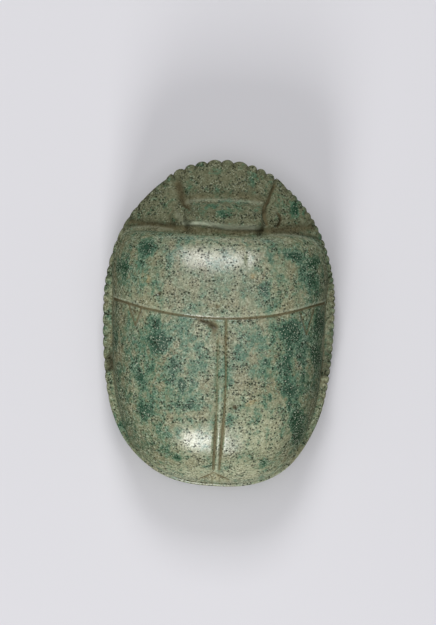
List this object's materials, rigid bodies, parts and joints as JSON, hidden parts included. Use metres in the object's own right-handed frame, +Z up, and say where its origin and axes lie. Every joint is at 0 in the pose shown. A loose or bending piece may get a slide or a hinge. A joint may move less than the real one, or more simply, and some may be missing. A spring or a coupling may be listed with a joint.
{
  "type": "scarab amulet",
  "caption": "Large scarab amulet in carved, green-glazed soft stone, with incised wing cases, a toothed clypeus and legs along an oval base.",
  "frame": {"origin": "middle of the flat underside", "axes": "+Y towards the beetle's head, +Z up through its back, +X to the right when it is seen from above with the head away from the viewer"},
  "size_m": [0.0428, 0.06, 0.0235],
  "materials": {
    "glazed_stone": "semi-gloss worn glaze"
  },
  "bodies": {
    "root": {"scarab": "glazed_stone"}
  },
  "joints": []
}
